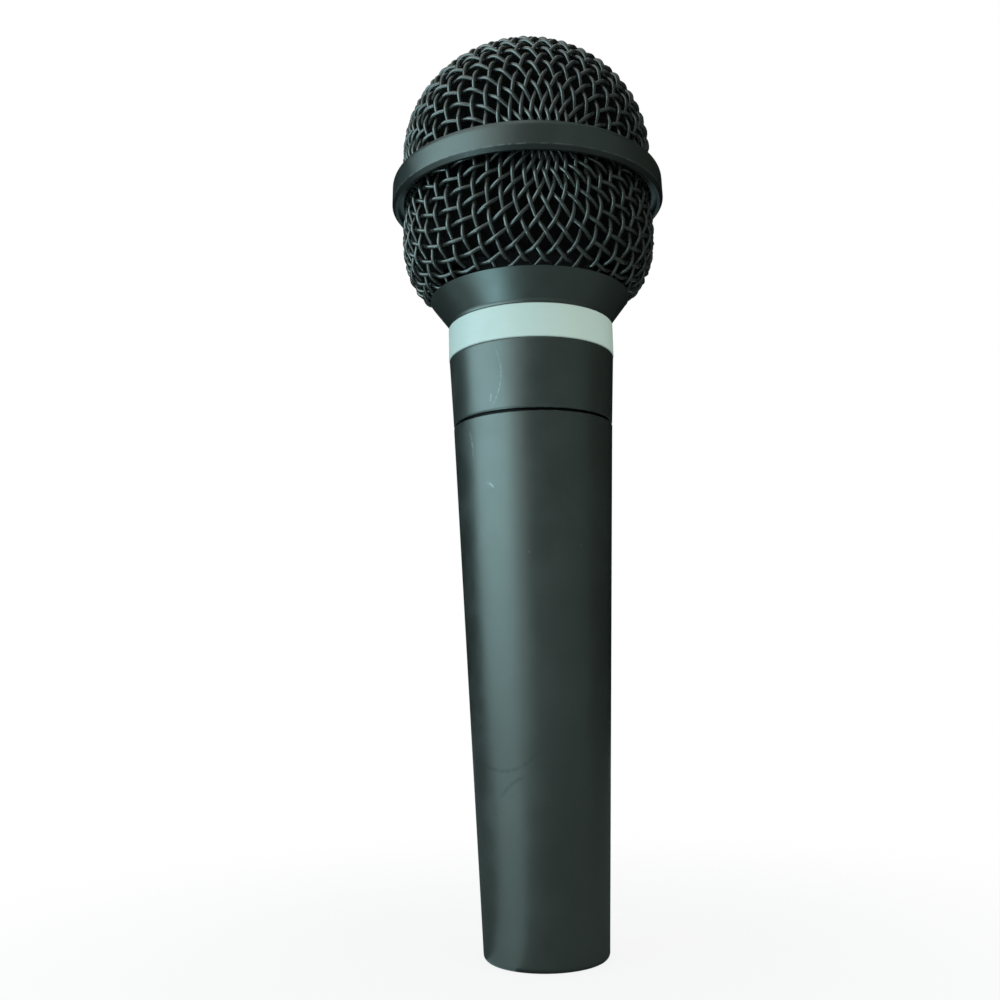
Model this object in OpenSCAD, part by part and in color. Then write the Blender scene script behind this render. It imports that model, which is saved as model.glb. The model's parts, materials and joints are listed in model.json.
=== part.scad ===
// Hand-held dynamic vocal microphone, standing on its tail.
// Z runs up the axis of the microphone. The tail face lies in the plane z = 0.
// The front of the microphone faces -Y and the connector's keyway is at +Y.

/* [Handle] */
// Length of the tapered handle, from the tail face to the seam
handle_len = 97.4; // [70:0.1:140]
// Wall of the handle round the connector insert at the tail
tail_wall = 1.9; // [1.5:0.1:4]
// Outer diameter of the handle at the seam
seam_d = 30.7; // [30:0.1:36]
// Thickness of the tapered tube wall
handle_wall = 2; // [1.2:0.1:2.6]
// Radius of the rounded outer edge at the tail
tail_round = 1; // [0.3:0.1:1.2]
// Width of the broken edges on the turned pieces
edge = 0.15; // [0.05:0.05:0.2]

/* [Head sleeve] */
// Height of the sleeve between the seam and the trim ring
sleeve_len = 13.1; // [8:0.1:20]
// Height of the dark groove at the seam
groove_h = 0.5; // [0.2:0.1:1]
// Depth of the dark groove at the seam
groove_depth = 0.5; // [0.2:0.1:1]
// Length of the spigot that is glued into the handle
spigot_len = 8.9; // [5:0.1:14]
// Depth of the step that the spigot's seat makes in the handle's wall
spigot_step = 0.2; // [0.1:0.05:0.5]
// Wall of the spigot
spigot_wall = 1.4; // [1:0.1:1.5]
// Outer diameter of the threaded neck
neck_d = 28; // [24:0.1:34]
// Height of the neck above the sleeve's shoulder
neck_len = 10.5; // [8:0.1:14]
// Wall of the neck
neck_wall = 1.8; // [1.2:0.1:2.4]

/* [Trim ring] */
// Wall of the pale ring where it passes the collar's bead
ring_wall = 0.8; // [0.4:0.1:2]
// How far the ring stands proud of the sleeve
ring_proud = 0.1; // [0.05:0.05:0.5]
// Height of the pale ring
ring_h = 6.4; // [4:0.1:10]

/* [Grille] */
// How far the collar's rim stands out beyond the ring
collar_flare = 3.5; // [2.5:0.1:5]
// Height of the collar's flared part
collar_h = 6.1; // [5:0.1:8]
// Straight height below the flare
collar_land = 0.3; // [0.2:0.1:1.5]
// Wall of the collar's threaded skirt
skirt_wall = 0.9; // [0.7:0.05:1.5]
// Wall of the hub that stands up inside the bowl
hub_wall = 1.2; // [0.8:0.1:1.6]
// Outer diameter of the band
band_d = 54; // [45:0.1:65]
// Height of the band
band_h = 5.8; // [5:0.1:8]
// Diameter of the wire, half the thickness of the woven mesh
wire_d = 0.8; // [0.5:0.05:0.9]
// Wall of the band where it hangs down outside the lower mesh
band_wall = 1.2; // [0.8:0.1:1.5]
// Depth of the hollow in the band's underside
band_hollow = 1; // [0.3:0.1:1.2]
// How far the band stands out from the upper mesh
band_over_dome = 2.15; // [1.8:0.05:2.6]
// How far the band stands out from the lower mesh
band_over_bowl = 2.5; // [2.2:0.05:3]
// Rise of the lower mesh for each mm that it runs outwards from the collar
seat_slope = 0.6; // [0.3:0.05:0.8]
// Height of the lower mesh between the collar's rim and the band
bowl_h = 18.4; // [16:0.1:26]
// Straight height of the upper mesh above the band
dome_skirt = 5.1; // [2:0.1:10]
// Height of the rounded part of the upper mesh
dome_rise = 22.8; // [18:0.1:28]
// Thickness of the foam liner
foam_t = 3; // [2:0.1:4]

/* [Capsule] */
// Outer diameter of the capsule's head
capsule_d = 25.6; // [21:0.1:31]
// Height of the capsule's head below its front cap
capsule_h = 12.2; // [12.2:0.1:18]
// Height of the front cap
cap_h = 6; // [5.8:0.1:9]
// Wall of the capsule's head round the magnet cup
head_wall = 3.3; // [3:0.1:4]
// Thickness of the rubber mount between the neck and the capsule's stem
mount_wall = 2.2; // [1.5:0.1:3]
// Wall of the rear chamber
chamber_wall = 1; // [0.8:0.1:1.5]
// Air gap between the rear chamber and the spigot
chamber_gap = 0.75; // [0.6:0.05:2]
// Height of the rear chamber
chamber_h = 19.6; // [12:0.1:24]
// How far the capsule can move up or down in its rubber mount
capsule_travel = 0.4; // [0.2:0.05:0.6]
// How far the diaphragm can move up or down
diaphragm_travel = 0.3; // [0.1:0.05:0.3]
// Thickness of the diaphragm
film_t = 0.2; // [0.1:0.05:0.25]

/* [Transformer] */
// Distance from the seam down to the transformer's centre
transformer_drop = 39.4; // [36:0.1:50]
// Thickness of the foam round the transformer at its lower end
packing_t = 1.5; // [0.8:0.1:3]
// Height of the laminated core
core_h = 18; // [16:0.1:22]
// Thickness of the stack of laminations
core_t = 5.8; // [4:0.1:6]

/* [Connector] */
// Wall of the connector insert round the socket
insert_wall = 1.4; // [1.2:0.1:2]
// Inner diameter of the socket around the contacts
socket_d = 16.1; // [13.4:0.1:19.4]
// Depth of the socket
socket_depth = 14.2; // [13:0.1:18]
// Thickness of the insert behind the socket
insert_floor = 4; // [3.5:0.1:6]
// Distance from the tail face to the insert
tail_lip = 0.8; // [0.5:0.1:2]
// Diameter of a contact
pin_d = 2.4; // [2.3:0.05:2.5]
// Diameter of the circle that the contacts stand on
pin_circle_d = 9.52; // [9:0.02:10]
// Length of a contact inside the socket
pin_reach = 11.5; // [9:0.1:12]
// Diameter of the insulated wires
lead_d = 1.2; // [0.8:0.1:1.3]
// Diameter of the screw that locks the insert
screw_d = 2.5; // [2:0.1:3]

/* [Fits] */
// Radial clearance where one piece turns or slides on another
run_fit = 0.05; // [0.02:0.01:0.09]
// Gap between glued or pressed pieces
seat_fit = 0.03; // [0.01:0.01:0.05]
// Gap around soft pieces
soft_gap = 0.3; // [0.2:0.05:0.5]

/* [Hidden] */
$fn = 96;
tiny = 0.01;
cut = 1;
arc_steps = 24;

// Diameters that follow from what fits inside
bead = 0.3;
insert_d = socket_d + 2 * insert_wall;
tail_d = insert_d + 2 * tail_wall;
skirt_d = neck_d + 2 * (run_fit + skirt_wall);
ring_d = skirt_d + 2 * (bead + run_fit + ring_wall);
sleeve_top_d = ring_d - 2 * ring_proud;
spigot_d = seam_d - 2 * (handle_wall + spigot_step);
collar_rim_d = ring_d + 2 * collar_flare;
dome_d = band_d - 2 * band_over_dome;
bowl_d = band_d - 2 * band_over_bowl;

// Heights up the axis
insert_top_z = tail_lip + socket_depth + insert_floor;
socket_floor_z = tail_lip + socket_depth;
seam_z = handle_len;
shoulder_z = seam_z + groove_h + sleeve_len;
ring_top_z = shoulder_z + ring_h;
neck_top_z = shoulder_z + neck_len;
collar_base_z = ring_top_z + run_fit;
collar_rim_z = collar_base_z + collar_h;
band_bottom_z = collar_rim_z + bowl_h;
band_top_z = band_bottom_z + band_h;
band_mid_z = band_bottom_z + band_h / 2;
dome_centre_z = band_top_z + dome_skirt;

// Radii that several pieces share
neck_r = neck_d / 2;
neck_bore_r = neck_r - neck_wall;
skirt_r = skirt_d / 2;
bead_h = 0.6;
spigot_bore_r = spigot_d / 2 - spigot_wall;
tail_opening_r = insert_d / 2 - 0.45;

// Outer radius of the handle at a height
function handle_r(z) = tail_d / 2 + (seam_d - tail_d) / 2 * z / handle_len;
function handle_bore_r(z) = handle_r(z) - handle_wall;

// Points of an arc in the plane of a profile
function arc(centre, r, from, to, steps = arc_steps) =
  [for (i = [0:steps]) let (a = from + (to - from) * i / steps) centre + r * [cos(a), sin(a)]];

// Points of a curve that leaves a towards b and arrives at c from b
function bend(a, b, c, from = 0, steps = arc_steps) =
  [for (i = [0:steps]) let (t = from + (1 - from) * i / steps)
    (1 - t) * (1 - t) * a + 2 * t * (1 - t) * b + t * t * c];

function reversed(points) = [for (i = [len(points) - 1:-1:0]) points[i]];

// A profile moved sideways, to its left where d is positive
function along(points, i) =
  let (step = points[min(i + 1, len(points) - 1)] - points[max(i - 1, 0)]) step / norm(step);
function moved(points, d) =
  [for (i = [0:len(points) - 1]) points[i] + d * [-along(points, i)[1], along(points, i)[0]]];

// A sheet of even thickness that follows a profile, turned about the axis
module turned_sheet(points, near, far) {
  rotate_extrude()
    polygon(concat(moved(points, near), reversed(moved(points, far))));
}

module tube(r_out, r_in, z_low, z_high) {
  translate([0, 0, z_low])
    difference() {
      cylinder(r = r_out, h = z_high - z_low);
      translate([0, 0, -cut])
        cylinder(r = r_in, h = z_high - z_low + 2 * cut);
    }
}

// ---------------------------------------------------------------- handle

screw_z = socket_floor_z + insert_floor / 2;
screw_inner_y = 5;

module screw_hole(gap) {
  translate([0, screw_inner_y, screw_z])
    rotate([-90, 0, 0])
      cylinder(d = screw_d + 2 * gap, h = handle_r(screw_z));
}

module handle() {
  step_z = seam_z - spigot_len - seat_fit;
  color("#2b3335")
    difference() {
      rotate_extrude()
        polygon(concat(
          [[tail_opening_r, 0]],
          arc([handle_r(tail_round) - tail_round, tail_round], tail_round, -90, 0, 8),
          [[handle_r(seam_z - edge), seam_z - edge],
           [handle_r(seam_z) - edge, seam_z],
           [spigot_d / 2 + seat_fit, seam_z],
           [spigot_d / 2 + seat_fit, step_z],
           [handle_bore_r(step_z), step_z],
           [handle_bore_r(insert_top_z), insert_top_z],
           [insert_d / 2 + seat_fit, insert_top_z],
           [insert_d / 2 + seat_fit, tail_lip],
           [tail_opening_r, tail_lip]]));
      screw_hole(run_fit);
    }
}

module head_sleeve() {
  ledge_z = shoulder_z - 3.5;
  color("#2b3335")
    rotate_extrude()
      polygon([
        [spigot_bore_r, seam_z - spigot_len],
        [spigot_d / 2, seam_z - spigot_len],
        [spigot_d / 2, seam_z],
        [handle_r(seam_z) - groove_depth, seam_z],
        [handle_r(seam_z) - groove_depth, seam_z + groove_h],
        [handle_r(seam_z) - edge, seam_z + groove_h],
        [handle_r(seam_z), seam_z + groove_h + edge],
        [sleeve_top_d / 2, shoulder_z - edge],
        [sleeve_top_d / 2 - edge, shoulder_z],
        [neck_r, shoulder_z],
        [neck_r, neck_top_z],
        [neck_bore_r, neck_top_z],
        [neck_bore_r, ledge_z],
        [spigot_bore_r, ledge_z - 1]]);
}

// Pale ring, caught on the collar's skirt by the bead at the skirt's lower end
module trim_ring() {
  ledge_z = shoulder_z + 1 + bead_h + run_fit;
  color("#b9ccd2")
    rotate_extrude()
      polygon([
        [skirt_r + bead + run_fit, shoulder_z],
        [ring_d / 2 - edge, shoulder_z],
        [ring_d / 2, shoulder_z + edge],
        [ring_d / 2, ring_top_z - edge],
        [ring_d / 2 - edge, ring_top_z],
        [skirt_r + run_fit, ring_top_z],
        [skirt_r + run_fit, ledge_z],
        [skirt_r + bead + run_fit, ledge_z]]);
}

// ---------------------------------------------------------------- grille

// Middle of the lower mesh: from the hub, along the collar's seat, round the bowl and up
bowl_foot = [collar_rim_d / 2 - 0.1, collar_rim_z + wire_d - 0.05];
bowl_head = [bowl_d / 2 - wire_d, band_bottom_z];
bowl_turn_r = bowl_head[0] + 2.1;
bowl_turn = [bowl_turn_r, bowl_foot[1] + (bowl_turn_r - bowl_foot[0]) * seat_slope];
hub_r = neck_r + run_fit + hub_wall;
function seat_at(r) = [r, bowl_foot[1] - (bowl_foot[0] - r) * seat_slope];
seat_angle = atan(seat_slope);
mesh_gap = wire_d + seat_fit;

function bowl_path() = concat(
  [seat_at(hub_r + seat_fit + wire_d * sin(seat_angle))],
  bend(bowl_foot, bowl_turn, bowl_head),
  [[bowl_head[0], band_mid_z - wire_d]]);

// Half outline of a dome that lies a distance inside the middle of the upper mesh
dome_r = dome_d / 2 - wire_d;
function dome_line(inset, low_z) = concat(
  [[dome_r - inset, low_z]],
  [for (i = [0:arc_steps]) let (a = 90 * i / arc_steps)
    [(dome_r - inset) * cos(a), dome_centre_z + (dome_rise - wire_d - inset) * sin(a)]]);

module dome_shell(near, far, low_z) {
  rotate_extrude()
    polygon(concat(dome_line(near, low_z), reversed(dome_line(far, low_z))));
}

flange_r = dome_d / 2 + 0.9;
flange_t = 1;

module mesh_flange(r_in, z_low) {
  tube(flange_r, r_in, z_low, z_low + flange_t);
}

module grille_lower_mesh() {
  color("#15191a")
    union() {
      turned_sheet(bowl_path(), wire_d, -wire_d);
      mesh_flange(bowl_head[0], band_mid_z - seat_fit - flange_t);
    }
}

module grille_upper_mesh() {
  color("#15191a")
    union() {
      dome_shell(-wire_d, wire_d, band_mid_z + wire_d);
      mesh_flange(dome_r, band_mid_z + seat_fit);
    }
}

// Ring that clamps the flanges of both meshes in a channel
module grille_band() {
  channel = flange_t + 2 * seat_fit;
  lip_low_r = bowl_d / 2 + seat_fit + 0.2;
  lip_high_r = dome_d / 2 + seat_fit;
  shoulder = 1.4;
  color("#2b3335")
    rotate_extrude()
      polygon(concat(
        [[lip_low_r, band_bottom_z + band_hollow],
         [band_d / 2 - band_wall, band_bottom_z + band_hollow],
         [band_d / 2 - band_wall, band_bottom_z],
         [band_d / 2 - 0.6, band_bottom_z],
         [band_d / 2, band_bottom_z + 0.8]],
        arc([band_d / 2 - 0.1 - shoulder, band_top_z - shoulder], shoulder, 0, 90, 8),
        [[lip_high_r, band_top_z],
         [lip_high_r, band_mid_z + channel],
         [flange_r + seat_fit, band_mid_z + channel],
         [flange_r + seat_fit, band_mid_z - channel],
         [lip_low_r, band_mid_z - channel]]));
}

// Flared collar: threaded skirt below, flare outside, seat and hub for the lower mesh inside
module grille_collar() {
  skirt_z = shoulder_z + 1;
  rim_in = collar_rim_d / 2 - 0.4;
  hub_top_z = seat_at(hub_r)[1] + mesh_gap / cos(seat_angle) + 1.6;
  seat_drop = mesh_gap / cos(seat_angle);
  foot_r = ring_d / 2 - 0.25;
  flare_z = collar_base_z + collar_land;
  color("#2b3335")
    rotate_extrude()
      polygon(concat(
        [[neck_r + run_fit, skirt_z],
         [skirt_r + bead, skirt_z],
         [skirt_r + bead, skirt_z + bead_h],
         [skirt_r, skirt_z + bead_h],
         [skirt_r, collar_base_z],
         [foot_r - edge, collar_base_z],
         [foot_r, collar_base_z + edge]],
        bend([foot_r, flare_z], [foot_r, flare_z + 0.35], [foot_r + 0.2, flare_z + 0.62], 0, 6),
        [[collar_rim_d / 2, collar_rim_z - 0.45],
         [collar_rim_d / 2 - 0.1, seat_at(rim_in)[1] - seat_drop + 0.05],
         [rim_in, seat_at(rim_in)[1] - seat_drop],
         [hub_r, seat_at(hub_r)[1] - seat_drop],
         [hub_r, hub_top_z],
         [neck_r + run_fit, hub_top_z]]));
}

// Foam liners lie just inside the meshes
foam_near = wire_d + soft_gap;

module foam_lower() {
  path = concat(
    bend(bowl_foot, bowl_turn, bowl_head, 0.12, 12),
    [[bowl_head[0], band_mid_z - soft_gap]]);
  color("#202324")
    turned_sheet(path, foam_near, foam_near + foam_t);
}

module foam_upper() {
  color("#202324")
    dome_shell(foam_near, foam_near + foam_t, band_mid_z);
}

// ---------------------------------------------------------------- capsule

// Heights of the capsule, counted up from the rubber mount's flange
mount_flange_h = 2.5;
mount_z = shoulder_z + 1;
mount_top_z = neck_top_z + mount_flange_h;
head_z = mount_top_z + capsule_travel;
cup_z = head_z + 2.1;
film_slot = 2 * diaphragm_travel + film_t + 0.1;
frame_top_z = head_z + capsule_h + 2.4;
cap_z = head_z + capsule_h;
cap_top_z = cap_z + cap_h;
film_z = cap_z + film_slot / 2;
chamber_top_z = mount_z - capsule_travel;
chamber_z = chamber_top_z - chamber_h;
stem_end_z = chamber_top_z - 3.4;
board_t = 1.4;
board_z = chamber_z - board_t;

// Radii of the capsule
cap_wall = 0.9;
cap_bore_r = capsule_d / 2 - cap_wall;
frame_top_r = cap_bore_r - run_fit;
ring_seat_r = frame_top_r - 0.6;
slot_r = ring_seat_r - 0.35;
film_r = slot_r - 0.1;
cup_r = capsule_d / 2 - head_wall;
stem_r = min(neck_bore_r - mount_wall, spigot_bore_r - chamber_gap - chamber_wall);
stem_bore_r = min(stem_r - 2, cup_r - 1.5);
cup_bore_r = cup_r - 1.6;
pole_r = cup_bore_r - 1;
coil_r = (pole_r + cup_bore_r) / 2;
coil_wall = 0.5;
cup_h = 8.5;
cup_floor = 2;
pole_h = 2.2;
port_z = cap_z - 3;
port_count = 8;

module shock_mount() {
  color("#303030")
    union() {
      tube(neck_bore_r - seat_fit, stem_r + run_fit, mount_z, neck_top_z + tiny);
      tube(neck_r - 0.4, stem_r + run_fit, neck_top_z, mount_top_z);
    }
}

// Moulded frame that holds the magnet, the diaphragm and the stem
module capsule_frame() {
  color("#3a3f41")
    difference() {
      rotate_extrude()
        polygon([
          [stem_bore_r, stem_end_z],
          [stem_r, stem_end_z],
          [stem_r, head_z],
          [capsule_d / 2, head_z],
          [capsule_d / 2, cap_z],
          [frame_top_r, cap_z],
          [frame_top_r, frame_top_z],
          [ring_seat_r + seat_fit, frame_top_z],
          [ring_seat_r + seat_fit, cap_z + film_slot],
          [slot_r, cap_z + film_slot],
          [slot_r, cap_z],
          [cup_r + 0.8, cap_z],
          [cup_r + 0.8, port_z - 1.6],
          [cup_r + seat_fit, port_z - 1.6],
          [cup_r + seat_fit, cup_z],
          [stem_bore_r, cup_z]]);
      for (i = [0:port_count - 1])
        rotate([0, 90, i * 360 / port_count])
          translate([-port_z, 0, cup_r + 0.4])
            cylinder(r = 0.9, h = capsule_d / 2);
    }
}

// Front cap with a plate of holes in two rings round a middle hole
module capsule_cap() {
  plate_t = 1;
  color("#8d9294")
    difference() {
      tube_blank(capsule_d / 2, cap_z, cap_top_z);
      translate([0, 0, cap_z - cut])
        cylinder(r = cap_bore_r, h = cap_h - plate_t + cut);
      translate([0, 0, cap_z]) {
        cylinder(r = 1.6, h = cap_h + cut);
        hole_ring(8, cap_bore_r - 6.7, 1.1);
        hole_ring(14, cap_bore_r - 3, 1.1);
      }
    }
}

module tube_blank(r, z_low, z_high) {
  rotate_extrude()
    polygon([
      [0, z_low], [r, z_low], [r, z_high - 0.6], [r - 0.6, z_high], [0, z_high]]);
}

module hole_ring(count, ring_r, hole_r) {
  for (i = [0:count - 1])
    rotate([0, 0, i * 360 / count])
      translate([ring_r, 0, 0])
        cylinder(r = hole_r, h = cap_h + cut);
}

module cap_cloth() {
  cloth_t = 0.3;
  color("#6b6152")
    translate([0, 0, cap_top_z - 1 - cloth_t])
      cylinder(r = cap_bore_r - soft_gap, h = cloth_t);
}

module clamp_ring() {
  color("#b08d57")
    tube(ring_seat_r, slot_r - 0.7, cap_z + film_slot, cap_z + film_slot + 1.1);
}

// Domed film with a flat surround
module diaphragm() {
  dome_edge = coil_r + coil_wall / 2 + 0.1;
  rise = 2.6;
  ball_r = (dome_edge * dome_edge + rise * rise) / (2 * rise);
  edge_angle = acos(dome_edge / ball_r);
  low = film_z - film_t / 2;
  centre = [0, low + rise - ball_r];
  color("#d8c27a")
    rotate_extrude()
      polygon(concat(
        [[film_r, low], [film_r, low + film_t]],
        [[dome_edge, low + film_t]],
        [for (p = arc(centre, ball_r + film_t, edge_angle + 2, 90, 12)) [max(p[0], 0), p[1]]],
        [for (p = arc(centre, ball_r, 90, edge_angle, 12)) [max(p[0], 0), p[1]]]));
}

module voice_coil() {
  color("#b8632f")
    tube(coil_r + coil_wall / 2, coil_r - coil_wall / 2, cup_z + 5.5, film_z - film_t / 2);
}

module magnet_cup() {
  color("#9aa0a3")
    difference() {
      translate([0, 0, cup_z])
        cylinder(r = cup_r, h = cup_h);
      translate([0, 0, cup_z + cup_floor])
        cylinder(r = cup_bore_r, h = cup_h);
      translate([0, 0, cup_z - cut])
        cylinder(r = 1.5, h = cup_h);
    }
}

module magnet() {
  color("#55595c")
    tube(pole_r - 0.4, 1.5, cup_z + cup_floor, cup_z + cup_h - pole_h);
}

module pole_cap() {
  color("#9aa0a3")
    tube(pole_r, 1.5, cup_z + cup_h - pole_h, cup_z + cup_h);
}

// Felt band over the rear sound ports
module port_felt() {
  color("#4a4a44")
    tube(capsule_d / 2 + seat_fit + 0.3, capsule_d / 2 + seat_fit, port_z - 1.7, port_z + 1.7);
}

module rear_chamber() {
  color("#3a3f41")
    rotate_extrude()
      polygon([
        [0, chamber_z],
        [stem_r + chamber_wall, chamber_z],
        [stem_r + chamber_wall, chamber_top_z],
        [stem_r + seat_fit, chamber_top_z],
        [stem_r + seat_fit, stem_end_z],
        [stem_r - 1, stem_end_z],
        [stem_r - 1, chamber_z + 1.2],
        [0, chamber_z + 1.2]]);
}

terminal_x = 3.5;
terminal_d = 1.1;

module terminal_board() {
  color("#b99a4b")
    difference() {
      translate([0, 0, board_z])
        cylinder(r = stem_r - 2, h = board_t);
      terminal_pair(terminal_d + 2 * seat_fit);
    }
}

module terminal_pair(d) {
  for (side = [-1, 1])
    translate([side * terminal_x, 0, board_z - 3.2])
      cylinder(d = d, h = 3.2 + board_t);
}

module capsule_terminals() {
  color("#c9ccd0")
    terminal_pair(terminal_d);
}

// ---------------------------------------------------------------- transformer

transformer_z = seam_z - transformer_drop;
transformer_low_z = transformer_z - core_h / 2;
transformer_high_z = transformer_z + core_h / 2;
packing_bore_r = handle_bore_r(transformer_low_z) - soft_gap - packing_t;
core_w = 2 * sqrt(pow(packing_bore_r - soft_gap, 2) - pow(core_t / 2, 2));
limb_w = 2.9;
window_h = core_h - 2 * limb_w;
bobbin_h = window_h - 0.2;
bobbin_hole = 2 * limb_w + 2 * seat_fit;
winding_w = core_w - 2 * limb_w - 0.6;
bobbin_wall = 0.8;

module block(w, d, h) {
  translate([-w / 2, -d / 2, transformer_z - h / 2])
    cube([w, d, h]);
}

module transformer_core() {
  window_w = core_w / 2 - 2 * limb_w;
  color("#8a8f93")
    difference() {
      block(core_w, core_t, core_h);
      for (side = [-1, 1])
        translate([side * (limb_w + window_w / 2), 0, 0])
          block(window_w, core_t + 2 * cut, window_h);
    }
}

module transformer_bobbin() {
  flange = 0.8;
  color("#e6e2d3")
    difference() {
      union() {
        block(bobbin_hole + 2 * bobbin_wall, core_t + 2 * (seat_fit + bobbin_wall), bobbin_h);
        for (side = [-1, 1])
          translate([0, 0, side * (bobbin_h - flange) / 2])
            block(winding_w, winding_w, flange);
      }
      block(bobbin_hole, core_t + 2 * seat_fit, bobbin_h + 2 * cut);
    }
}

module transformer_winding() {
  color("#c9a227")
    difference() {
      block(winding_w - 0.4, winding_w - 0.4, bobbin_h - 2 * 0.8 - 2 * seat_fit);
      block(bobbin_hole + 2 * bobbin_wall + 2 * seat_fit,
            core_t + 2 * (seat_fit + bobbin_wall) + 2 * seat_fit, bobbin_h);
    }
}

// Foam tube that wedges the transformer in the tapered handle
module transformer_foam() {
  color("#3d4042")
    rotate_extrude()
      polygon([
        [packing_bore_r, transformer_low_z],
        [handle_bore_r(transformer_low_z) - soft_gap, transformer_low_z],
        [handle_bore_r(transformer_high_z) - soft_gap, transformer_high_z],
        [packing_bore_r, transformer_high_z]]);
}

// ---------------------------------------------------------------- connector

// Contacts 1 and 2 stand side by side near the keyway and contact 3 opposite
pin_angles = [45, 135, 270];
function pin_at(i) = pin_circle_d / 2 * [cos(pin_angles[i]), sin(pin_angles[i])];
root_d = 2.8;
cup_len = 5.5;
cup_bore_d = lead_d + 0.6;

module connector_insert() {
  color("#1d1f20")
    difference() {
      translate([0, 0, tail_lip])
        cylinder(d = insert_d, h = insert_top_z - tail_lip);
      translate([0, 0, tail_lip - cut])
        cylinder(d = socket_d, h = socket_depth + cut);
      translate([-1.6, 0, tail_lip - cut])
        cube([3.2, socket_d / 2 + 0.7, 9 + cut]);
      for (i = [0:2])
        translate(concat(pin_at(i), [socket_floor_z - cut]))
          cylinder(d = root_d + 2 * seat_fit, h = insert_floor + 2 * cut);
      screw_hole(seat_fit);
    }
}

// Contact with a thicker root in the insert's floor and a solder cup behind it
module contact_pin(i) {
  tip_z = socket_floor_z - pin_reach + pin_d / 2;
  color("#cfd2d4")
    translate(pin_at(i))
      difference() {
        union() {
          translate([0, 0, tip_z])
            sphere(d = pin_d);
          translate([0, 0, tip_z])
            cylinder(d = pin_d, h = socket_floor_z - tip_z + tiny);
          translate([0, 0, socket_floor_z])
            cylinder(d = root_d, h = insert_floor + cup_len);
        }
        translate([0, 0, insert_top_z + 1.5])
          cylinder(d = cup_bore_d, h = cup_len);
        rotate([0, 0, pin_angles[i] + 180])
          translate([0, -root_d, insert_top_z + 3])
            cube([root_d, 2 * root_d, cup_len]);
      }
}

module contact_pin_1() { contact_pin(0); }
module contact_pin_2() { contact_pin(1); }
module contact_pin_3() { contact_pin(2); }

// Leaf that joins contact 1 to the handle's inner wall
module ground_spring() {
  leaf_t = 0.4;
  leaf_w = 3.6;
  leaf_h = 7;
  wall_r = handle_bore_r(insert_top_z) - 0.2;
  color("#d6cfa8")
    difference() {
      rotate([0, 0, pin_angles[0]])
        translate([0, -leaf_w / 2, insert_top_z]) {
          translate([norm(pin_at(0)) - 2.2, 0, 0])
            cube([wall_r - norm(pin_at(0)) + 2, leaf_w, leaf_t]);
          translate([wall_r - leaf_t - 0.2, 0, 0])
            cube([leaf_t, leaf_w, leaf_h]);
        }
      translate(concat(pin_at(0), [insert_top_z - cut]))
        cylinder(d = root_d + 2 * seat_fit, h = leaf_h);
    }
}

// Headless screw that winds out of the insert into the handle's wall
module lock_screw() {
  screw_end = handle_r(screw_z) - 0.7;
  color("#8f9496")
    difference() {
      translate([0, screw_inner_y + 0.5, screw_z])
        rotate([-90, 0, 0])
          cylinder(d = screw_d, h = screw_end - screw_inner_y - 0.5);
      translate([0, screw_end + tiny, screw_z])
        rotate([90, 30, 0])
          cylinder(d = screw_d / 2, h = 1.2, $fn = 6);
    }
}

// ---------------------------------------------------------------- wires

// Points of a smooth route through chosen points
function smooth(points, per) = [
  for (i = [0:len(points) - 2], j = [0:per - 1])
    let (a = points[max(i - 1, 0)], b = points[i], c = points[i + 1],
         d = points[min(i + 2, len(points) - 1)], t = j / per)
      0.5 * (2 * b + (c - a) * t + (2 * a - 5 * b + 4 * c - d) * t * t
             + (3 * b - a - 3 * c + d) * t * t * t),
  points[len(points) - 1]
];

function heading(route, i) =
  let (step = route[min(i + 1, len(route) - 1)] - route[max(i - 1, 0)]) step / norm(step);

// Tube swept along a route that runs mostly downwards
module wire(points, tint) {
  sides = 8;
  route = smooth(points, 3);
  count = len(route);
  rings = [
    for (i = [0:count - 1], k = [0:sides - 1])
      let (h = heading(route, i), u = cross(h, [0, 1, 0]) / norm(cross(h, [0, 1, 0])),
           v = cross(h, u), a = 360 * k / sides)
        route[i] + lead_d / 2 * (cos(a) * u + sin(a) * v)
  ];
  walls = [
    for (i = [0:count - 2], k = [0:sides - 1])
      let (a = i * sides + k, b = i * sides + (k + 1) % sides)
        [a, b, b + sides, a + sides]
  ];
  first = [for (k = [sides - 1:-1:0]) k];
  last = [for (k = [0:sides - 1]) (count - 1) * sides + k];
  color(tint)
    polyhedron(rings, concat([first], walls, [last]));
}

lead_side = terminal_d / 2 + lead_d / 2 + 0.25;
lead_top_z = board_z - capsule_travel - 0.2;
bobbin_face = bobbin_h / 2 + 0.2;
lead_y = core_t / 2 + lead_d / 2 + 0.6;

// Height at a share of the way down a wire
function down(high, low, share) = high + (low - high) * share;

module capsule_lead(side, tint) {
  x = side * terminal_x;
  low = transformer_z + bobbin_face;
  wire([
    [x, lead_side, lead_top_z],
    [x, lead_side, down(lead_top_z, low, 0.15)],
    [x + side * 2, 4.5, down(lead_top_z, low, 0.35)],
    [x + side * 0.5, 5, down(lead_top_z, low, 0.69)],
    [x, lead_y, down(lead_top_z, low, 0.84)],
    [x, lead_y, low]], tint);
}

module output_lead(i, start, tint) {
  high = transformer_z - bobbin_face;
  low = insert_top_z + 2;
  p = pin_at(i);
  wire([
    [start[0], start[1], high],
    [start[0], start[1], down(high, low, 0.13)],
    [start[0] * 1.3, start[1] * 1.2, down(high, low, 0.36)],
    [p[0] * 1.1, p[1] * 1.1, down(high, low, 0.68)],
    [p[0], p[1], down(high, low, 0.84)],
    [p[0], p[1], low]], tint);
}

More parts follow.
